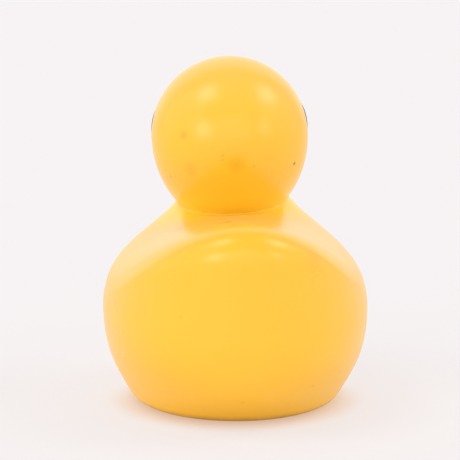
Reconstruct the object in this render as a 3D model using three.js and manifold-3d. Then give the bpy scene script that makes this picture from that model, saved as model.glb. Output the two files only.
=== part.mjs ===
// Vinyl duck figure: a hollow cast shell in one piece that stands on a flat base with a vent hole.
// Millimetres, +Z up. The duck faces -Y. The origin is on the floor under the middle of the duck.
import * as THREE from 'three';
import { LoftGeometry } from 'three/addons/geometries/LoftGeometry.js';
import { mergeVertices } from 'three/addons/utils/BufferGeometryUtils.js';
import Module from 'manifold-3d';

// Shell, and the vent in its base
const wall = 2.4;
const ventDiameter = 9;
const ventForward = 4;

// Base: a flat oval with a rounded edge, from which the flanks rise at a slope
// and keep it for a share of their rise
const baseWidth = 55.5;
const baseRear = 30;
const baseFront = 25;
const baseRound = 4;
const sideFlank = 62;
const rearFlank = 38;
const chestFlank = 54;
const flankLead = 1 / 3;

// Body: how far each side reaches from the middle, the height at which it does,
// and the share of the flank's rise over which the belly stands upright
const bodyWidth = 73;
const sideHeight = 26.9;
const rearReach = 52;
const rearHeight = 26.5;
const chestReach = 37;
const chestHeight = 25;
const bellyLead = 1 / 2;

// Shoulders: how far the side and chest keep their direction as they leave the belly
const sideFullness = 16;
const chestFullness = 14;

// Rump and back: the rear outline below and above the rim
const rumpFullness = 14.7;
const rumpLean = 88;
const rumpEnd = 10;
const backLead = 14.9;
const backDip = 4.7;
const backSweep = 11.9;
const backSlope = -3.7;

// Rim: the rounded edge between the rump and the back. It leaves the shoulders low at the sides,
// a share of the way up, and rises and narrows to the rear. Its rounding takes a share of the rump
// and of the back, and more of both towards the tail.
const rimShare = 0.086;
const rimReach = 52;
const rimHeight = 55.8;
const rimNarrowing = 0.085;
const rimFall = 1.92;
const rumpRound = 0.1;
const backRound = 0.09;
const tailSoftness = 3;
const tailSpread = 4;

// Tail: a broad low peak drawn up and back out of the middle of the rim
const tailReach = 0.8;
const tailRise = 3.8;
const tailWidth = 38;
const tailSharpness = 3;

// Neck: a ring that is tipped back and leaned to the duck's left, how late the shoulders
// take up that turn, and how each outline comes up to the ring
const neckRadius = 15.3;
const neckForward = 12.5;
const neckHeight = 54.2;
const neckTilt = 9;
const neckLean = 3;
const neckTurnDelay = 3;
const sideSweep = 10;
const sideSlope = 56;
const throatSweep = 8;
const throatSlope = 70;

// Head: an egg that stands on the neck ring, with its face turned a little to the duck's right
const headRadius = 21.7;
const headAbove = 22;
const headBelow = 25.7;
const faceTurn = 3;

// Bill: an upper and a lower half that meet at the mouth and part at the tip
const billPitch = 9;
const billDrop = 3;
const billWidth = 22;
const billReach = 14;
const billCrown = 5.5;
const billLift = 3.2;
const jawWidth = 19;
const jawReach = 11.5;
const jawKeel = 3.6;
const jawLift = 1.4;
const lip = 0.8;

// Eyes: raised ovals
const eyeWidth = 11;
const eyeHeight = 13;
const eyeRelief = 1;
const eyeTurn = 65.5;
const eyeLatitude = 2;

// Vinyl
const vinylColour = 0xf5b51f;
const vinylRoughness = 0.3;

// Fineness of the surfaces
const skinDetail = { columns: 48, edge: 4, flank: 8, rump: 7, rim: 4, back: 10, head: 15 };
const cavityDetail = { columns: 32, edge: 2, flank: 5, rump: 4, rim: 3, back: 7, head: 10 };
const billDetail = { columns: 24, rows: 9 };
const eyeDetail = { columns: 24, rows: 16 };
const ventColumns = 24;

const radians = THREE.MathUtils.degToRad;
const upward = new THREE.Vector3(0, 0, 1);
const wasm = await Module();
wasm.setup();

// The head's frame stands on the turned neck ring, with Z to the crown.
// The face's frame is turned about that axis, with -Y to the bill.
const neckCentre = new THREE.Vector3(0, -neckForward, neckHeight);
const neckTurn = new THREE.Quaternion()
  .setFromEuler(new THREE.Euler(-radians(neckTilt), radians(neckLean), 0, 'YXZ'));
const neckLatitude = Math.acos(neckRadius / headRadius);
const headFrame = new THREE.Matrix4()
  .makeRotationFromQuaternion(neckTurn).setPosition(neckCentre)
  .multiply(new THREE.Matrix4().makeTranslation(0, 0, headBelow * Math.sin(neckLatitude)));
const faceFrame = headFrame.clone().multiply(new THREE.Matrix4().makeRotationZ(-radians(faceTurn)));

// One outline of the body as reach over height, in curves from the base up to the neck.
const point = (x, y) => new THREE.Vector2(x, y);
const heading = (slope) => point(Math.cos(radians(slope)), Math.sin(radians(slope)));

function outline({ foot, flankSlope, reach, height, neckReach }) {
  const flank = heading(flankSlope);
  const corner = point(foot, 0);
  const edgeTop = corner.clone().addScaledVector(flank, baseRound);
  const rise = height - edgeTop.y;
  const belly = point(reach, height);
  const neck = point(neckReach, neckHeight);
  return {
    belly,
    neck,
    edge: new THREE.QuadraticBezierCurve(point(foot - baseRound, 0), corner, edgeTop),
    flank: new THREE.CubicBezierCurve(
      edgeTop, edgeTop.clone().addScaledVector(flank, flankLead * rise),
      point(reach, height - bellyLead * rise), belly),
  };
}

// A shoulder: one curve from the belly to the neck.
function shoulder({ belly, neck }, fullness, sweep, slope) {
  return new THREE.CubicBezierCurve(
    belly, point(belly.x, belly.y + fullness), neck.clone().addScaledVector(heading(-slope), sweep), neck);
}

const side = outline({
  foot: baseWidth / 2, flankSlope: sideFlank, reach: bodyWidth / 2, height: sideHeight, neckReach: neckRadius,
});
side.shoulder = shoulder(side, sideFullness, sideSweep, sideSlope);

const chest = outline({
  foot: baseFront, flankSlope: chestFlank, reach: chestReach, height: chestHeight,
  neckReach: neckRadius + neckForward,
});
chest.shoulder = shoulder(chest, chestFullness, throatSweep, throatSlope);

const rear = outline({
  foot: baseRear, flankSlope: rearFlank, reach: rearReach, height: rearHeight,
  neckReach: neckRadius - neckForward,
});
const rim = point(rimReach, rimHeight);
rear.rump = new THREE.CubicBezierCurve(
  rear.belly, point(rear.belly.x, rear.belly.y + rumpFullness),
  rim.clone().addScaledVector(heading(rumpLean), -rumpEnd), rim);
rear.back = new THREE.CubicBezierCurve(
  rim, rim.clone().addScaledVector(heading(backDip), -backLead),
  rear.neck.clone().addScaledVector(heading(-backSlope), backSweep), rear.neck);

// A point of the body at a share of a stage and at an angle round it from the front. The front half
// is an oval to the chest, and the rear half carries the rim and the tail. The climb is how far up
// the shoulders the point is, and the nearness is 1 on the rim and 0 at the belly and at the neck.
// The back turns with the neck as it climbs to it.
function bodyPoint(stage, share, angle) {
  const climb = { rump: rimShare * share, back: rimShare + (1 - rimShare) * share }[stage] ?? 0;
  const nearness = { rump: share, back: 1 - share }[stage] ?? 0;
  const level = (line) => (line[stage] ? line[stage].getPoint(share) : line.shoulder.getPoint(climb));
  const sidePoint = level(side);
  const middle = neckForward * THREE.MathUtils.smoothstep(climb, 0, 1);
  const across = Math.sin(angle);
  const along = Math.cos(angle);
  const place = new THREE.Vector3();
  if (along > 0) {
    const chestPoint = level(chest);
    place.x = sidePoint.x * across;
    place.y = -middle - (chestPoint.x - middle) * along;
    place.z = THREE.MathUtils.lerp(sidePoint.y, chestPoint.y, along ** 2);
  } else {
    const rearPoint = level(rear);
    const roundness = 1 + rimNarrowing * nearness;
    place.x = sidePoint.x * Math.sign(across) * Math.abs(across) ** roundness;
    const tail = nearness ** tailSharpness * Math.exp(-((2 * place.x / tailWidth) ** 2));
    place.y = -middle + (rearPoint.x + middle) * Math.abs(along) ** roundness + tailReach * tail;
    place.z = THREE.MathUtils.lerp(sidePoint.y, rearPoint.y, Math.abs(along) ** rimFall) + tailRise * tail;
  }
  const turn = new THREE.Quaternion().slerp(neckTurn, climb ** neckTurnDelay);
  return place.sub(neckCentre).applyQuaternion(turn).add(neckCentre);
}

// The rounding of the rim leaves the rump at one share and runs out on the back at another.
const softness = (angle) => 1 + tailSoftness * Math.max(0, -Math.cos(angle)) ** tailSpread;
const rumpTop = (angle) => 1 - rumpRound * softness(angle);
const backStart = (angle) => backRound * softness(angle);

function rimPoint(share, angle) {
  return new THREE.QuadraticBezierCurve3(
    bodyPoint('rump', rumpTop(angle), angle), bodyPoint('rump', 1, angle),
    bodyPoint('back', backStart(angle), angle)).getPoint(share);
}

// A point of the head at a latitude of the egg.
function headPoint(latitude, angle) {
  const radius = headRadius * Math.cos(latitude);
  const height = (latitude < 0 ? headBelow : headAbove) * Math.sin(latitude);
  return new THREE.Vector3(radius * Math.sin(angle), -radius * Math.cos(angle), height)
    .applyMatrix4(headFrame);
}

// The closed surface of the body and head, from the base up to the crown.
function skin(detail) {
  const rings = [];
  const ring = (place) => {
    const angles = Array.from({ length: detail.columns }, (_, i) => (2 * Math.PI * i) / detail.columns);
    rings.push(angles.map(place));
  };
  const rise = (rows, place) => {
    for (let row = 1; row <= rows; row += 1) ring((angle) => place(row / rows, angle));
  };
  ring((angle) => bodyPoint('edge', 0, angle));
  rise(detail.edge, (share, angle) => bodyPoint('edge', share, angle));
  rise(detail.flank, (share, angle) => bodyPoint('flank', share, angle));
  rise(detail.rump, (share, angle) => bodyPoint('rump', rumpTop(angle) * share, angle));
  rise(detail.rim, rimPoint);
  rise(detail.back, (share, angle) => {
    const start = backStart(angle);
    return bodyPoint('back', start + (1 - start) * share, angle);
  });
  const step = (Math.PI / 2 + neckLatitude) / (detail.head + 1 / 2);
  for (let i = 1; i <= detail.head; i += 1) ring((angle) => headPoint(i * step - neckLatitude, angle));
  return new LoftGeometry(rings, { capStart: true, capEnd: true });
}

// The positions of a geometry alone, with shared corners merged, as one closed surface.
function welded(geometry) {
  const bare = new THREE.BufferGeometry();
  bare.setAttribute('position', geometry.attributes.position);
  bare.setIndex(geometry.index);
  return mergeVertices(bare);
}

// The same surface moved inwards along its normals.
function inset(geometry, depth) {
  const moved = welded(geometry);
  moved.computeVertexNormals();
  const { position, normal } = moved.attributes;
  for (let i = 0; i < position.count; i += 1) {
    position.setXYZ(
      i,
      position.getX(i) - depth * normal.getX(i),
      position.getY(i) - depth * normal.getY(i),
      position.getZ(i) - depth * normal.getZ(i),
    );
  }
  return moved;
}

// One half of the bill: a flat, blunt tongue from inside the head to a lifted tip.
// Above and below are its thicknesses on either side of the mouth.
function billHalf({ width, reach, above, below, lift }) {
  const root = Math.sqrt(headRadius ** 2 - (width / 2) ** 2 - (billDrop + below) ** 2) - wall;
  const length = headRadius + reach - root;
  const step = Math.PI / 2 / (billDetail.rows + 1 / 2);
  const rings = [];
  for (let row = 0; row <= billDetail.rows; row += 1) {
    const along = Math.sin(row * step);
    const taper = Math.sqrt(Math.cos(row * step));
    const ring = [];
    for (let i = 0; i < billDetail.columns; i += 1) {
      const angle = (2 * Math.PI * i) / billDetail.columns;
      const thickness = Math.sin(angle) > 0 ? above : below;
      ring.push(new THREE.Vector3(
        (width / 2) * taper * Math.cos(angle),
        -root - length * along,
        -billDrop + lift * along * along + thickness * taper * Math.sin(angle),
      ));
    }
    rings.push(ring);
  }
  return new LoftGeometry(rings, { capStart: true, capEnd: true })
    .rotateX(radians(billPitch)).applyMatrix4(faceFrame);
}

// An eye: a low oval dome whose rim lies on the head. Turn is measured from the front.
function eye(turn) {
  const seat = Math.sqrt(headRadius ** 2 - (eyeWidth / 2) ** 2);
  const direction = new THREE.Vector3(0, -Math.cos(radians(eyeLatitude)), Math.sin(radians(eyeLatitude)))
    .applyAxisAngle(upward, radians(turn));
  const place = new THREE.Object3D();
  place.up.copy(upward);
  place.position.copy(direction).multiplyScalar(seat);
  place.lookAt(direction.multiplyScalar(2 * headRadius));
  place.scale.set(eyeWidth / 2, eyeHeight / 2, headRadius + eyeRelief - seat);
  place.updateMatrix();
  return new THREE.SphereGeometry(1, eyeDetail.columns, eyeDetail.rows)
    .applyMatrix4(place.matrix).applyMatrix4(faceFrame);
}

// The vent: a plug that passes through the base into the hollow.
function vent() {
  return new THREE.CylinderGeometry(ventDiameter / 2, ventDiameter / 2, 4 * wall, ventColumns)
    .rotateX(Math.PI / 2).translate(0, -ventForward, 0);
}

// A geometry as a solid for joining and cutting, and back again.
function solid(geometry) {
  const closed = welded(geometry);
  return new wasm.Manifold(new wasm.Mesh({
    numProp: 3,
    vertProperties: Float32Array.from(closed.attributes.position.array),
    triVerts: Uint32Array.from(closed.index.array),
  }));
}

function surface(body) {
  const mesh = body.getMesh();
  const geometry = new THREE.BufferGeometry();
  geometry.setAttribute('position', new THREE.BufferAttribute(mesh.vertProperties, 3));
  geometry.setIndex(new THREE.BufferAttribute(mesh.triVerts, 1));
  geometry.computeVertexNormals();
  return geometry;
}

const bill = billHalf({ width: billWidth, reach: billReach, above: billCrown, below: lip, lift: billLift });
const jaw = billHalf({ width: jawWidth, reach: jawReach, above: lip, below: jawKeel, lift: jawLift });
const shell = solid(skin(skinDetail))
  .add(solid(bill))
  .add(solid(jaw))
  .add(solid(eye(eyeTurn)))
  .add(solid(eye(-eyeTurn)))
  .subtract(solid(inset(skin(cavityDetail), wall)))
  .subtract(solid(vent()));

const vinyl = new THREE.MeshStandardMaterial({ color: vinylColour, roughness: vinylRoughness });
const duckMesh = new THREE.Mesh(surface(shell), vinyl);
duckMesh.name = 'duck';
duckMesh.geometry.computeBoundingBox();
duckMesh.position.y = -duckMesh.geometry.boundingBox.getCenter(new THREE.Vector3()).y;

const duck = new THREE.Group();
duck.add(duckMesh);
export default duck;
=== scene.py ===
import math
import bpy
from mathutils import Matrix, Quaternion, Vector


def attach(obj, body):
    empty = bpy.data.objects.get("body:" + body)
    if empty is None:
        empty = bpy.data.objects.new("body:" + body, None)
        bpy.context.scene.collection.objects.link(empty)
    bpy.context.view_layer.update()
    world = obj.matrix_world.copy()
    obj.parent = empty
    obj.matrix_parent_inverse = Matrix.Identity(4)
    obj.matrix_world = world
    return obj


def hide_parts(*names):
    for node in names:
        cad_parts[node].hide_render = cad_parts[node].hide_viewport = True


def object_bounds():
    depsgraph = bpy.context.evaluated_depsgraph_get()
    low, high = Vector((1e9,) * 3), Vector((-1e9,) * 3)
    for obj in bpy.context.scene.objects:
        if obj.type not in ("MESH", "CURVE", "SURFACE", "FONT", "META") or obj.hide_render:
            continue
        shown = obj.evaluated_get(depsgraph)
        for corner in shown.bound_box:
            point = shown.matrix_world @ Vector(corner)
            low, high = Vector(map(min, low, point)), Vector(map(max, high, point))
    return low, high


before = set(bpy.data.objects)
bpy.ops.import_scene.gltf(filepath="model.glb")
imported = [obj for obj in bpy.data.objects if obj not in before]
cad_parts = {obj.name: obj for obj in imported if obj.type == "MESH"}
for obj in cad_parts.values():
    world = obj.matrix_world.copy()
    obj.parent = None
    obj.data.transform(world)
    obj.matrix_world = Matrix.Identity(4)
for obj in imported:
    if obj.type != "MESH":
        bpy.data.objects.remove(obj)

solid_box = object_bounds()

# Camera
# A long lens on a stand behind the duck, a little above it and a few degrees to its left.
# The frame is shifted so that the duck stands slightly right of the middle.
camera_place = Vector((0.0372, 0.6840, 0.1726))
camera_aim = Vector((0, -0.0033, 0.045))

camera_lens = bpy.data.cameras.new("stand_camera")
camera_lens.lens = 198.6
camera_lens.sensor_width = 36
camera_lens.shift_x = -0.0107
camera_lens.shift_y = 0.0165
camera = bpy.data.objects.new("stand_camera", camera_lens)
camera.location = camera_place
camera.rotation_euler = (camera_aim - camera_place).to_track_quat("-Z", "Y").to_euler()
bpy.context.collection.objects.link(camera)
bpy.context.scene.camera = camera
bpy.context.scene.view_settings.view_transform = "Standard"

# Floor
# A wide pale sheet of smooth card under the duck, lit evenly so that it runs out of sight
# without an edge. It takes the duck's soft shadow, and near the duck a painted glow of bounced light.
floor_half = 6
card_white = (0.92, 0.888, 0.893, 1)
card_pale = (0.899, 0.867, 0.874, 1)
card_painted_glow = (0.86, 0.60, 0.42, 1)
painted_glow_edge = (0.025, 0.037)
seen_lift = 0.72
mirrored_lift = 0.62
mirrored_edge = (0.035, 0.10)

floor_mesh = bpy.data.meshes.new("pale_floor")
floor_mesh.from_pydata(
    [(-floor_half, -floor_half, 0), (floor_half, -floor_half, 0),
     (floor_half, floor_half, 0), (-floor_half, floor_half, 0)],
    [], [(0, 1, 2, 3)])
floor = bpy.data.objects.new("pale_floor", floor_mesh)
bpy.context.collection.objects.link(floor)


def new_finish(name):
    """A material, with its node tree and its main shader."""
    finish = bpy.data.materials.new(name)
    finish.use_nodes = True
    return finish, finish.node_tree, finish.node_tree.nodes["Principled BSDF"]


def add_node(tree, kind, inputs=None, **settings):
    """A shader node with its settings, and its sockets linked or set."""
    made = tree.nodes.new(kind)
    for name, value in settings.items():
        setattr(made, name, value)
    for socket, value in (inputs or {}).items():
        if isinstance(value, bpy.types.NodeSocket):
            tree.links.new(value, made.inputs[socket])
        else:
            made.inputs[socket].default_value = value
    return made


# The mixing node's sockets: those for a share and for two colours, and the one with the blend.
share_socket = 0
first_socket = 6
second_socket = 7
colour_socket = 2


def blend_colour(tree, share, first, second):
    """A colour that goes from the first to the second as the share goes from 0 to 1."""
    blend = add_node(tree, "ShaderNodeMix",
                     {share_socket: share, first_socket: first, second_socket: second},
                     data_type="RGBA")
    return blend.outputs[colour_socket]


def ramp(tree, value, bounds, levels, smooth=False):
    """A value that goes from one level to another as the given one goes from bound to bound."""
    made = add_node(tree, "ShaderNodeMapRange",
                    {"Value": value, "From Min": bounds[0], "From Max": bounds[1],
                     "To Min": levels[0], "To Max": levels[1]},
                    interpolation_type="SMOOTHSTEP" if smooth else "LINEAR")
    return made.outputs["Result"]


def work_out(tree, operation, *values):
    """The result of an operation on single values."""
    return add_node(tree, "ShaderNodeMath", dict(enumerate(values)), operation=operation).outputs[0]


def measure(tree, operation, *places):
    """The length of a place from the origin, or the distance between two places."""
    made = add_node(tree, "ShaderNodeVectorMath", dict(enumerate(places)), operation=operation)
    return made.outputs["Value"]


# Seen by the camera, the card is lifted towards an even pale tone, and near the duck towards a
# painted warm glow of bounced light. Mirrored in the duck it is lifted only further off, so that the
# duck's shadow shows there.
floor_card, card_tree, card_shader = new_finish("pale_card")
card_shader.inputs["Base Color"].default_value = card_white
card_shader.inputs["Roughness"].default_value = 0.9
card_shader.inputs["Specular IOR Level"].default_value = 0
card_light = add_node(card_tree, "ShaderNodeLightPath").outputs
card_place = add_node(card_tree, "ShaderNodeTexCoord").outputs["Object"]
card_distance = measure(card_tree, "LENGTH", card_place)
card_clear = ramp(card_tree, card_distance, painted_glow_edge, (0, 1), smooth=True)
card_colour = blend_colour(card_tree, card_clear, card_painted_glow, card_pale)
card_seen = work_out(card_tree, "MULTIPLY", card_light["Is Camera Ray"], seen_lift)
card_mirrored = work_out(card_tree, "MAXIMUM",
                         card_light["Is Glossy Ray"], card_light["Is Transmission Ray"])
card_far = ramp(card_tree, card_distance, mirrored_edge, (0, mirrored_lift), smooth=True)
card_lift = work_out(card_tree, "MULTIPLY_ADD", card_mirrored, card_far, card_seen)
card_tone = add_node(card_tree, "ShaderNodeEmission", {"Color": card_colour, "Strength": 1})
card_mix = add_node(card_tree, "ShaderNodeMixShader",
                    {0: card_lift, 1: card_shader.outputs["BSDF"], 2: card_tone.outputs["Emission"]})
card_tree.links.new(card_mix.outputs[0], card_tree.nodes["Material Output"].inputs["Surface"])
floor_mesh.materials.append(floor_card)

# Light
# A white tent all round, with broad soft lights beyond, above and beside the duck and one behind the
# camera. Four smaller lamps, a pair above and a pair low, make the four soft spots on the head.
tent = bpy.data.worlds.new("white_tent")
tent.use_nodes = True
tent_light = tent.node_tree.nodes["Background"]
tent_light.inputs["Color"].default_value = (1, 0.972, 0.978, 1)
tent_light.inputs["Strength"].default_value = 0.47
bpy.context.scene.world = tent


def soft_lamp(name, towards, strength, spread):
    """A distant lamp that stands in the given direction from the duck, spread over an angle."""
    lamp_light = bpy.data.lights.new(name, "SUN")
    lamp_light.energy = strength
    lamp_light.angle = math.radians(spread)
    lamp = bpy.data.objects.new(name, lamp_light)
    lamp.rotation_euler = Vector(towards).to_track_quat("Z", "Y").to_euler()
    bpy.context.collection.objects.link(lamp)


soft_lamp("camera_side_light", towards=(0.0, 1.0, 0.0), strength=1.06, spread=70)
soft_lamp("back_light", towards=(0.0, -0.97, 0.25), strength=1.18, spread=90)
soft_lamp("top_light", towards=(0.0, 0.0, 1.0), strength=0.14, spread=100)
soft_lamp("left_light", towards=(0.97, 0.1, 0.2), strength=0.82, spread=80)
soft_lamp("right_light", towards=(-0.97, 0.1, 0.2), strength=0.76, spread=80)
soft_lamp("upper_left_lamp", towards=(0.47, 0.18, 0.86), strength=0.50, spread=24)
soft_lamp("upper_right_lamp", towards=(-0.68, 0.0, 0.73), strength=0.43, spread=24)
soft_lamp("lower_left_lamp", towards=(0.66, 0.72, 0.22), strength=0.42, spread=20)
soft_lamp("lower_right_lamp", towards=(-0.75, 0.62, 0.25), strength=0.15, spread=15)

# Duck shell
# The body and head are one hollow casting in soft yellow vinyl. It is cast in a closed heated
# mould and pulled out through the vent in its base, so it has no seam. Sizes are in millimetres.
millimetre = 0.001
wall = 2.4
vent_radius = 4.5
vent_forward = 4
vent_lip = 0.5

base_half_width = 27.75
base_rear = 30
base_front = 25
base_round = 4
flank_lead = 1 / 3
belly_lead = 1 / 2

neck_radius = 15.3
neck_forward = 12.5
neck_height = 54.2
neck_tilt = 9
neck_lean = 3
neck_turn_delay = 3
crease_start = 0.965
crease_rise = 1.2

rim_share = 0.086
rim_reach = 52
rim_height = 55.8
rim_narrowing = 0.085
rim_fall = 1.92
rump_round = 0.1
back_round = 0.09
tail_softness = 3
tail_spread = 4

rump_fullness = 14.7
rump_lean = 88
rump_end = 10
back_lead = 14.9
back_dip = 4.7
back_sweep = 11.9
back_slope = -3.7

tail_reach = 0.8
tail_rise = 3.8
tail_width = 38
tail_sharpness = 3

head_radius = 21.7
head_above = 22
head_below = 25.7

ring_points = 160
lip_rows = 3
base_rows = 8
edge_rows = 10
flank_rows = 30
rump_rows = 40
rim_rows = 14
back_rows = 50
crease_rows = 6
head_rows = 60

neck_centre = Vector((0, -neck_forward, neck_height))
neck_turn = (Matrix.Rotation(math.radians(neck_lean), 3, "Y")
             @ Matrix.Rotation(-math.radians(neck_tilt), 3, "X")).to_quaternion()
neck_latitude = math.acos(neck_radius / head_radius)
head_frame = (Matrix.Translation(neck_centre) @ neck_turn.to_matrix().to_4x4()
              @ Matrix.Translation((0, 0, head_below * math.sin(neck_latitude))))


def curve_point(points, t):
    """A point on the smooth curve that the given points lead."""
    while len(points) > 1:
        points = [start.lerp(end, t) for start, end in zip(points, points[1:])]
    return points[0]


def heading(slope):
    """A step of one in the direction of a slope, as reach over height."""
    return Vector((math.cos(math.radians(slope)), math.sin(math.radians(slope))))


def outline(foot, flank_slope, reach, height, neck_reach):
    """The lower curves of one outline of the body, as reach over height, and its ends above them."""
    flank = heading(flank_slope)
    corner = Vector((foot, 0))
    edge_top = corner + flank * base_round
    rise = height - edge_top.y
    belly = Vector((reach, height))
    return {
        "belly": belly,
        "neck": Vector((neck_reach, neck_height)),
        "edge": [Vector((foot - base_round, 0)), corner, edge_top],
        "flank": [edge_top, edge_top + flank * flank_lead * rise,
                  Vector((reach, height - belly_lead * rise)), belly],
    }


def shoulder(line, fullness, sweep, slope):
    """A shoulder: one curve from the belly to the neck."""
    return [line["belly"], line["belly"] + Vector((0, fullness)),
            line["neck"] + heading(-slope) * sweep, line["neck"]]


side_outline = outline(foot=base_half_width, flank_slope=62, reach=36.5, height=26.9,
                       neck_reach=neck_radius)
side_outline["shoulder"] = shoulder(side_outline, fullness=16, sweep=10, slope=56)
chest_outline = outline(foot=base_front, flank_slope=54, reach=37, height=25,
                        neck_reach=neck_radius + neck_forward)
chest_outline["shoulder"] = shoulder(chest_outline, fullness=14, sweep=8, slope=70)
rear_outline = outline(foot=base_rear, flank_slope=38, reach=52, height=26.5,
                       neck_reach=neck_radius - neck_forward)
rim_point = Vector((rim_reach, rim_height))
rear_outline["rump"] = [rear_outline["belly"], rear_outline["belly"] + Vector((0, rump_fullness)),
                        rim_point - heading(rump_lean) * rump_end, rim_point]
rear_outline["back"] = [rim_point, rim_point - heading(back_dip) * back_lead,
                        rear_outline["neck"] + heading(-back_slope) * back_sweep,
                        rear_outline["neck"]]

ring_angles = [2 * math.pi * i / ring_points for i in range(ring_points)]


def body_ring(stage, shares):
    """A ring of the body at a share of a stage for each angle: the front half is an oval to the
    chest, and the rear half carries the rim and the tail."""
    ring = []
    for angle, t in zip(ring_angles, shares):
        climb = {"rump": rim_share * t, "back": rim_share + (1 - rim_share) * t}.get(stage, 0)
        nearness = {"rump": t, "back": 1 - t}.get(stage, 0)
        side = curve_point(side_outline.get(stage) or side_outline["shoulder"],
                           t if stage in side_outline else climb)
        middle = neck_forward * climb * climb * (3 - 2 * climb)
        across = math.sin(angle)
        along = math.cos(angle)
        if along > 0:
            chest = curve_point(chest_outline.get(stage) or chest_outline["shoulder"],
                                t if stage in chest_outline else climb)
            point = Vector((side.x * across,
                            -middle - (chest.x - middle) * along,
                            side.y + (chest.y - side.y) * along ** 2))
        else:
            rear = curve_point(rear_outline[stage], t)
            roundness = 1 + rim_narrowing * nearness
            x = side.x * math.copysign(abs(across) ** roundness, across)
            tail = nearness ** tail_sharpness * math.exp(-(2 * x / tail_width) ** 2)
            y = -middle + (rear.x + middle) * abs(along) ** roundness + tail_reach * tail
            z = side.y + (rear.y - side.y) * abs(along) ** rim_fall + tail_rise * tail
            point = Vector((x, y, z))
        turn = Quaternion().slerp(neck_turn, climb ** neck_turn_delay)
        ring.append(neck_centre + turn @ (point - neck_centre))
    return ring


def even(share):
    """The same share at each angle of a ring."""
    return [share] * ring_points


def head_ring(latitude):
    """A ring of the head's egg at a latitude."""
    radius = head_radius * math.cos(latitude)
    height = (head_below if latitude < 0 else head_above) * math.sin(latitude)
    return [head_frame @ Vector((radius * math.sin(angle), -radius * math.cos(angle), height))
            for angle in ring_angles]


def vent_ring(radius, height):
    """A round ring about the vent."""
    return [Vector((radius * math.sin(angle), -vent_forward - radius * math.cos(angle), height))
            for angle in ring_angles]


# The rings run from the vent over the base, up the flanks and the rump, round the rim, along the back
# to the crease of the neck, and over the head to its crown.
shell_rings = []
for row in range(lip_rows):
    lip_turn = math.pi / 2 * row / lip_rows
    shell_rings.append(vent_ring(vent_radius + vent_lip * (1 - math.cos(lip_turn)),
                                 vent_lip * (1 - math.sin(lip_turn))))
vent_edge = vent_ring(vent_radius + vent_lip, 0)
base_edge = body_ring("edge", even(0))
for row in range(base_rows):
    shell_rings.append([inner.lerp(outer, row / base_rows)
                        for inner, outer in zip(vent_edge, base_edge)])
for row in range(edge_rows):
    shell_rings.append(body_ring("edge", even(row / edge_rows)))
for row in range(flank_rows):
    shell_rings.append(body_ring("flank", even(row / flank_rows)))
softness = [1 + tail_softness * max(0, -math.cos(angle)) ** tail_spread for angle in ring_angles]
rump_ends = [1 - rump_round * soft for soft in softness]
back_starts = [back_round * soft for soft in softness]
for row in range(rump_rows):
    shell_rings.append(body_ring("rump", [end * row / rump_rows for end in rump_ends]))
rim_corners = list(zip(body_ring("rump", rump_ends), body_ring("rump", even(1)),
                       body_ring("back", back_starts)))
for row in range(rim_rows):
    shell_rings.append([curve_point(list(corner), row / rim_rows) for corner in rim_corners])
for row in range(back_rows):
    shell_rings.append(body_ring("back", [start + (crease_start - start) * row / back_rows
                                          for start in back_starts]))
head_start = crease_rise / head_radius - neck_latitude
crease_corners = list(zip(body_ring("back", even(crease_start)), body_ring("back", even(1)),
                          head_ring(head_start)))
for row in range(crease_rows):
    shell_rings.append([curve_point(list(corner), row / crease_rows) for corner in crease_corners])
for row in range(head_rows):
    shell_rings.append(head_ring(head_start + (math.pi / 2 - head_start) * row / head_rows))
crown = head_frame @ Vector((0, 0, head_above))
rear_end = max(point.y for ring in shell_rings for point in ring)
shell_place = Vector((0, solid_box[1].y / millimetre - rear_end, 0))


def ring_mesh(name, rings, tip, foot_closed):
    """A smooth mesh in metres over a stack of equal rings. A tip point closes its last ring, and a
    flat face may close its first."""
    count = len(rings[0])
    points = [(point + shell_place) * millimetre for ring in rings for point in ring]
    points.append((tip + shell_place) * millimetre)
    faces = []
    for row in range(len(rings) - 1):
        for column in range(count):
            beside = (column + 1) % count
            faces.append((row * count + column, row * count + beside,
                          (row + 1) * count + beside, (row + 1) * count + column))
    last = (len(rings) - 1) * count
    for column in range(count):
        faces.append((last + column, last + (column + 1) % count, len(points) - 1))
    smooth = [True] * len(faces)
    if foot_closed:
        faces.append(tuple(reversed(range(count))))
        smooth.append(False)
    mesh = bpy.data.meshes.new(name)
    mesh.from_pydata(points, [], faces)
    mesh.polygons.foreach_set("use_smooth", smooth)
    return mesh


shell_mesh = ring_mesh("duck_shell", shell_rings, crown, foot_closed=False)
shell = bpy.data.objects.new("duck_shell", shell_mesh)
bpy.context.collection.objects.link(shell)
cast_wall = shell.modifiers.new("cast_wall", "SOLIDIFY")
cast_wall.thickness = wall * millimetre
cast_wall.offset = -1

vinyl_bright = (0.97, 0.548, 0.030, 1)
vinyl_deep = (0.95, 0.515, 0.024, 1)
vinyl_floor_lit = (0.99, 0.575, 0.003, 1)
vinyl_top_sheen = (0.97, 0.555, 0.070, 1)
vinyl_crease_lit = (0.99, 0.648, 0.035, 1)
stain_and_patch_orange = (0.90, 0.33, 0.012, 1)
smudge_brown = (0.50, 0.23, 0.012, 1)
speck_brown = (0.12, 0.05, 0.012, 1)
shade_and_dirt_brown = (0.42, 0.17, 0.015, 1)
floor_light_heights = (0, 16)
floor_light_strength = 0.9
top_sheen_heights = (74, 92)
top_sheen_strength = 0.8
mark_wander = 1.2
crease_light_reach = (1, 13)
crease_darkening_reach = (0.3, 1.2)
crease_darkening_strength = 0.22
base_shade_and_dirt_heights = (0.2, 3.0)
base_shade_and_dirt_strength = 0.9
shade_and_dirt_dulling = 0.4
cloud_spread = (0.3, 0.7)
vinyl_roughness = (0.27, 0.30)


def in_metres(sizes):
    """A pair or a place in metres, from one in millimetres."""
    return tuple(size * millimetre for size in sizes)


def clouds(tree, place, scale, detail, roughness):
    """Soft random patches over a place, as a share and as a colour."""
    return add_node(tree, "ShaderNodeTexNoise", {"Vector": place, "Scale": scale, "Detail": detail,
                                                 "Roughness": roughness}).outputs


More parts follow.
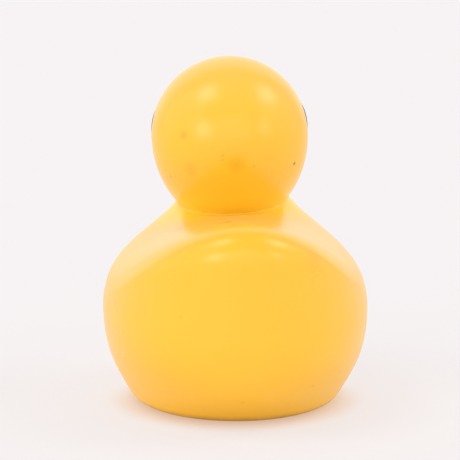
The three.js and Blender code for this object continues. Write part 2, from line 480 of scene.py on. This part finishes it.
yellow_vinyl, vinyl_tree, vinyl_shader = new_finish("yellow_vinyl")
vinyl_shader.inputs["IOR"].default_value = 1.5
vinyl_shader.inputs["Sheen Weight"].default_value = 0.06
vinyl_shader.inputs["Sheen Roughness"].default_value = 0.35
vinyl_place = add_node(vinyl_tree, "ShaderNodeTexCoord").outputs["Object"]
vinyl_height = add_node(vinyl_tree, "ShaderNodeSeparateXYZ", {0: vinyl_place}).outputs["Z"]

# The pigment is cloudy. Low on the body it is painted more golden: painted light from the floor.
vinyl_cloud = clouds(vinyl_tree, vinyl_place, scale=45, detail=3, roughness=0.5)["Fac"]
vinyl_colour = blend_colour(vinyl_tree, vinyl_cloud, vinyl_bright, vinyl_deep)
painted_floor_light = ramp(vinyl_tree, vinyl_height, in_metres(floor_light_heights), (floor_light_strength, 0),
                 smooth=True)
vinyl_colour = blend_colour(vinyl_tree, painted_floor_light, vinyl_colour, vinyl_floor_lit)
# The top of the head is painted paler: a painted sheen of the light from above.
painted_top_sheen = ramp(vinyl_tree, vinyl_height, in_metres(top_sheen_heights), (0, top_sheen_strength),
                  smooth=True)
vinyl_colour = blend_colour(vinyl_tree, painted_top_sheen, vinyl_colour, vinyl_top_sheen)

# Marks have ragged edges, so they are measured from a place that wanders a little.
mark_noise = clouds(vinyl_tree, vinyl_place, scale=600, detail=2, roughness=0.5)["Color"]
mark_shift = add_node(vinyl_tree, "ShaderNodeVectorMath", {0: mark_noise, 1: (0.5, 0.5, 0.5)},
                      operation="SUBTRACT").outputs[0]
mark_place = add_node(vinyl_tree, "ShaderNodeVectorMath",
                      {0: mark_shift, 1: in_metres((mark_wander,) * 3), 2: vinyl_place},
                      operation="MULTIPLY_ADD").outputs[0]


def mark_share(marks):
    """How much of the marks shows at a point of the vinyl. Each mark has a place and a size in
    millimetres, and a strength."""
    share = 0
    for place, size, strength in marks:
        distance = measure(vinyl_tree, "DISTANCE", mark_place, in_metres(place))
        fade = ramp(vinyl_tree, distance, in_metres((0, size)), (strength, 0), smooth=True)
        share = work_out(vinyl_tree, "MAXIMUM", fade, share)
    return share


stains_and_rim_patch = mark_share([
    ((12.5, 4.3, 65.6), 3.2, 0.30),
    ((0.2, 8.1, 66.9), 3.4, 0.40),
    # The last patch is a deeper orange just under the rim on the right.
    ((-17.4, 39.2, 47.2), 5.0, 0.20),
])
vinyl_colour = blend_colour(vinyl_tree, stains_and_rim_patch, vinyl_colour, stain_and_patch_orange)
smudges = mark_share([
    ((14.3, 4.0, 74.6), 2.0, 0.34),
    ((12.5, 4.3, 64.0), 1.3, 0.16),
    ((-6.7, -1.9, 52.5), 1.8, 0.40),
    ((15.2, -6.6, 50.8), 2.0, 0.34),
    ((16.3, 10.1, 49.9), 3.0, 0.32),
    ((2.5, 40.0, 56.2), 2.6, 0.20),
])
vinyl_colour = blend_colour(vinyl_tree, smudges, vinyl_colour, smudge_brown)
specks = mark_share([
    ((4.0, 8.4, 69.7), 0.9, 0.20),
    ((4.0, 8.2, 68.3), 0.8, 0.18),
    ((-4.5, 7.3, 66.5), 0.7, 0.20),
    ((17.7, -2.6, 62.3), 0.9, 0.24),
    ((-16.2, -0.9, 65.9), 0.9, 0.90),
    ((25.4, 32.9, 33.9), 0.7, 0.10),
    ((16.6, 42.6, 32.7), 0.8, 0.12),
    ((11.6, 46.0, 27.3), 0.6, 0.12),
    ((-9.9, 46.3, 22.6), 0.6, 0.12),
    ((-18.8, 34.1, 12.0), 0.9, 0.16),
    ((0.2, 38.1, 8.6), 0.9, 0.14),
])
vinyl_colour = blend_colour(vinyl_tree, specks, vinyl_colour, speck_brown)

# The vinyl is painted a little paler about the crease of the neck: painted bounce light there.
# How far a point is from the crease is measured in the neck's own frame, out from the ring of the
# neck and up from it.
neck_place = add_node(vinyl_tree, "ShaderNodeMapping",
                      {"Vector": vinyl_place, "Location": (neck_centre + shell_place) * millimetre,
                       "Rotation": neck_turn.to_euler()}, vector_type="TEXTURE").outputs[0]
neck_plan = add_node(vinyl_tree, "ShaderNodeVectorMath", {0: neck_place, 1: (1, 1, 0)},
                     operation="MULTIPLY").outputs[0]
crease_out = work_out(vinyl_tree, "SUBTRACT", measure(vinyl_tree, "LENGTH", neck_plan),
                      neck_radius * millimetre)
crease_up = add_node(vinyl_tree, "ShaderNodeSeparateXYZ", {0: neck_place}).outputs["Z"]
crease_place = add_node(vinyl_tree, "ShaderNodeCombineXYZ",
                        {"X": crease_out, "Y": crease_up}).outputs[0]
crease_away = measure(vinyl_tree, "LENGTH", crease_place)
painted_crease_light = ramp(vinyl_tree, crease_away, in_metres(crease_light_reach), (1, 0), smooth=True)
vinyl_colour = blend_colour(vinyl_tree, painted_crease_light, vinyl_colour, vinyl_crease_lit)

# Right in the crease the vinyl is darker in patches. Along the edge of the base it is darker in
# patches
# too: painted contact shade at the edge, and dirt on the flat underside.
crease_darkening = ramp(vinyl_tree, crease_away, in_metres(crease_darkening_reach),
                   (crease_darkening_strength, 0))
base_shade_and_dirt = ramp(vinyl_tree, vinyl_height, in_metres(base_shade_and_dirt_heights),
                 (base_shade_and_dirt_strength, 0))
shade_and_dirt_patches = clouds(vinyl_tree, vinyl_place, scale=160, detail=3, roughness=0.6)["Fac"]
shade_and_dirt = work_out(vinyl_tree, "MAXIMUM", crease_darkening, base_shade_and_dirt)
shade_and_dirt = work_out(vinyl_tree, "MULTIPLY", shade_and_dirt, shade_and_dirt_patches)
vinyl_colour = blend_colour(vinyl_tree, shade_and_dirt, vinyl_colour, shade_and_dirt_brown)
vinyl_tree.links.new(vinyl_colour, vinyl_shader.inputs["Base Color"])

# The gloss is soft and even, and duller in the darkened patches. The skin has a very fine grain.
vinyl_gloss = ramp(vinyl_tree, vinyl_cloud, cloud_spread, vinyl_roughness)
vinyl_dull = work_out(vinyl_tree, "MULTIPLY_ADD", shade_and_dirt, shade_and_dirt_dulling, vinyl_gloss)
vinyl_tree.links.new(vinyl_dull, vinyl_shader.inputs["Roughness"])
vinyl_grain = clouds(vinyl_tree, vinyl_place, scale=1500, detail=2, roughness=0.5)["Fac"]
vinyl_bump = add_node(vinyl_tree, "ShaderNodeBump",
                      {"Height": vinyl_grain, "Strength": 0.05, "Distance": 0.0002})
vinyl_tree.links.new(vinyl_bump.outputs["Normal"], vinyl_shader.inputs["Normal"])
shell_mesh.materials.append(yellow_vinyl)
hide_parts("duck")
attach(shell, "root")

# Bill
# An upper and a lower half, cast with the head in the same vinyl and painted orange by hand. They
# run into the head in a small fillet, meet at the mouth and part at the tip. The paint stops at the
# fillet and has worn off the edges of the tip.
face_turn = 3
bill_pitch = 9
bill_drop = 3
bill_lip = 0.8
bill_points = 72
bill_rows = 44
fillet_size = 1.6
fillet_spread = 0.12

face_frame = head_frame @ Matrix.Rotation(-math.radians(face_turn), 4, "Z")
bill_turn = Matrix.Rotation(math.radians(bill_pitch), 4, "X")
bill_frame = face_frame @ bill_turn


def above_head(point):
    """How far a point of the face's frame stands outside the head, roughly."""
    height = point.z / (head_below if point.z < 0 else head_above)
    return (math.hypot(point.x / head_radius, point.y / head_radius, height) - 1) * head_radius


def bill_half(name, width, reach, above, below, lift):
    """One half of the bill: a flat, blunt tongue from inside the head to a lifted tip."""
    root = math.sqrt(head_radius ** 2 - (width / 2) ** 2 - (bill_drop + below) ** 2) - wall
    length = head_radius + reach - root
    step = math.pi / 2 / (bill_rows + 1 / 2)
    rings = []
    for row in range(bill_rows + 1):
        along = math.sin(row * step)
        taper = math.sqrt(math.cos(row * step))
        middle = Vector((0, -root - length * along, lift * along ** 2 - bill_drop))
        ring = []
        for i in range(bill_points):
            angle = 2 * math.pi * i / bill_points
            thickness = above if math.sin(angle) > 0 else below
            spoke = Vector((width / 2 * math.cos(angle), 0, thickness * math.sin(angle))) * taper
            outside = max(0, above_head(bill_turn @ (middle + spoke)))
            flare = 1 + fillet_spread * math.exp(-outside / fillet_size)
            ring.append(bill_frame @ (middle + spoke * flare))
        rings.append(ring)
    tip = bill_frame @ Vector((0, -root - length, lift - bill_drop))
    half = bpy.data.objects.new(name, ring_mesh(name, rings, tip, foot_closed=True))
    bpy.context.collection.objects.link(half)
    return half


upper_bill = bill_half("upper_bill", width=22, reach=14, above=5.5, below=bill_lip, lift=3.2)
lower_bill = bill_half("lower_bill", width=19, reach=11.5, above=bill_lip, below=3.6, lift=1.4)

# Two shallow nostrils are pressed into the upper half.
nostril_row = 19
nostril_side = 7
nostril_size = 1.0
nostril_depth = 0.5
nostrils = []
for column in (bill_points // 4 - nostril_side, bill_points // 4 + nostril_side):
    nostrils.append(upper_bill.data.vertices[nostril_row * bill_points + column].co.copy())
for vertex in upper_bill.data.vertices:
    near = min((vertex.co - nostril).length for nostril in nostrils) / millimetre
    vertex.co.z -= nostril_depth * math.exp(-(near / nostril_size) ** 2) * millimetre

paint_bright = (0.83, 0.175, 0.014, 1)
paint_deep = (0.74, 0.130, 0.010, 1)
nostril_shade = (0.30, 0.045, 0.008, 1)
bare_vinyl = (0.96, 0.50, 0.027, 1)
nostril_shade_reach = (0.3, 1.2)
nostril_shade_strength = 0.7
film_ripple = 0.4
paint_roughness = (0.28, 0.38)

orange_paint, paint_tree, paint_shader = new_finish("orange_paint")
paint_shader.inputs["IOR"].default_value = 1.5
paint_place = add_node(paint_tree, "ShaderNodeTexCoord").outputs["Object"]
paint_cloud = clouds(paint_tree, paint_place, scale=160, detail=4, roughness=0.6)["Fac"]
paint_colour = blend_colour(paint_tree, paint_cloud, paint_bright, paint_deep)
for nostril in nostrils:
    distance = measure(paint_tree, "DISTANCE", paint_place, nostril)
    shade = ramp(paint_tree, distance, in_metres(nostril_shade_reach),
                 (nostril_shade_strength, 0))
    paint_colour = blend_colour(paint_tree, shade, paint_colour, nostril_shade)

# The bare vinyl shows in the fillet, and where the paint has rubbed off the tip. Both are found by
# their distance from the middle of the head, in radii of the head.
fillet_edge = (1.03, 1.045)
tip_edge = (1.50, 1.68)
tip_rubbing = 0.75
tip_wear_edge = (0.33, 0.41)
tip_wear = 0.7
head_place = add_node(paint_tree, "ShaderNodeMapping",
                      {"Vector": paint_place,
                       "Location": (head_frame.translation + shell_place) * millimetre,
                       "Scale": in_metres((head_radius,) * 3)}, vector_type="TEXTURE").outputs[0]
head_out = measure(paint_tree, "LENGTH", head_place)
fillet_bare = ramp(paint_tree, head_out, fillet_edge, (1, 0))
tip_near = ramp(paint_tree, head_out, tip_edge, (0, tip_rubbing))
tip_rub = work_out(paint_tree, "MULTIPLY", tip_near, paint_cloud)
tip_bare = ramp(paint_tree, tip_rub, tip_wear_edge, (0, tip_wear))
bare = work_out(paint_tree, "MAXIMUM", fillet_bare, tip_bare)
paint_colour = blend_colour(paint_tree, bare, paint_colour, bare_vinyl)
paint_tree.links.new(paint_colour, paint_shader.inputs["Base Color"])

# The paint is a glossy film with a faint ripple, and it ends in a small step where it is bare.
paint_gloss = ramp(paint_tree, paint_cloud, cloud_spread, paint_roughness)
paint_tree.links.new(paint_gloss, paint_shader.inputs["Roughness"])
paint_film = work_out(paint_tree, "SUBTRACT", 1.0, bare)
paint_height = work_out(paint_tree, "MULTIPLY_ADD", paint_cloud, film_ripple, paint_film)
paint_bump = add_node(paint_tree, "ShaderNodeBump",
                      {"Height": paint_height, "Strength": 0.25, "Distance": 0.0001})
paint_tree.links.new(paint_bump.outputs["Normal"], paint_shader.inputs["Normal"])
for half in (upper_bill, lower_bill):
    half.data.materials.append(orange_paint)
    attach(half, "root")

# Eyes
# Two low oval domes, cast with the head in the same vinyl. Each is painted gloss black by hand,
# with a small white dot near its top.
eye_width = 11
eye_height = 13
eye_relief = 1
eye_turn = 65.5
eye_latitude = 2
eye_points = 48
eye_rows = 20
eye_seat = math.sqrt(head_radius ** 2 - (eye_width / 2) ** 2)
dot_polar = 32
dot_angle = 65
dot_edge = (1.0, 1.2)
eye_black = (0.010, 0.009, 0.009, 1)
eye_grey = (0.024, 0.021, 0.019, 1)
dot_white = (0.84, 0.82, 0.77, 1)
eye_roughness = (0.14, 0.24)


def dome_point(eye_frame, polar, angle):
    """A point of an eye's dome, by its angle from the dome's middle and its angle round it."""
    return eye_frame @ Vector((eye_width / 2 * math.sin(polar) * math.cos(angle),
                               -eye_seat - (head_radius + eye_relief - eye_seat) * math.cos(polar),
                               eye_height / 2 * math.sin(polar) * math.sin(angle)))


eye_paint, eye_tree, eye_shader = new_finish("eye_paint")
eye_shader.inputs["IOR"].default_value = 1.5
eye_place = add_node(eye_tree, "ShaderNodeTexCoord").outputs["Object"]
eye_cloud = clouds(eye_tree, eye_place, scale=420, detail=4, roughness=0.6)["Fac"]
eye_colour = blend_colour(eye_tree, eye_cloud, eye_black, eye_grey)
for name, turn in (("left_eye", eye_turn), ("right_eye", -eye_turn)):
    eye_frame = (face_frame @ Matrix.Rotation(math.radians(turn), 4, "Z")
                 @ Matrix.Rotation(-math.radians(eye_latitude), 4, "X"))
    eye_rings = []
    for row in range(eye_rows):
        polar = math.pi / 2 * (1 - row / eye_rows)
        eye_rings.append([dome_point(eye_frame, polar, 2 * math.pi * i / eye_points)
                          for i in range(eye_points)])
    eye_mesh = ring_mesh(name, eye_rings, dome_point(eye_frame, 0, 0), foot_closed=True)
    eye = bpy.data.objects.new(name, eye_mesh)
    bpy.context.collection.objects.link(eye)
    eye_mesh.materials.append(eye_paint)
    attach(eye, "root")
    dot_middle = dome_point(eye_frame, math.radians(dot_polar), math.radians(dot_angle))
    distance = measure(eye_tree, "DISTANCE", eye_place, (dot_middle + shell_place) * millimetre)
    dot = ramp(eye_tree, distance, in_metres(dot_edge), (1, 0))
    eye_colour = blend_colour(eye_tree, dot, eye_colour, dot_white)
eye_tree.links.new(eye_colour, eye_shader.inputs["Base Color"])
eye_gloss = ramp(eye_tree, eye_cloud, cloud_spread, eye_roughness)
eye_tree.links.new(eye_gloss, eye_shader.inputs["Roughness"])
eye_bump = add_node(eye_tree, "ShaderNodeBump",
                    {"Height": eye_cloud, "Strength": 0.12, "Distance": 0.0001})
eye_tree.links.new(eye_bump.outputs["Normal"], eye_shader.inputs["Normal"])
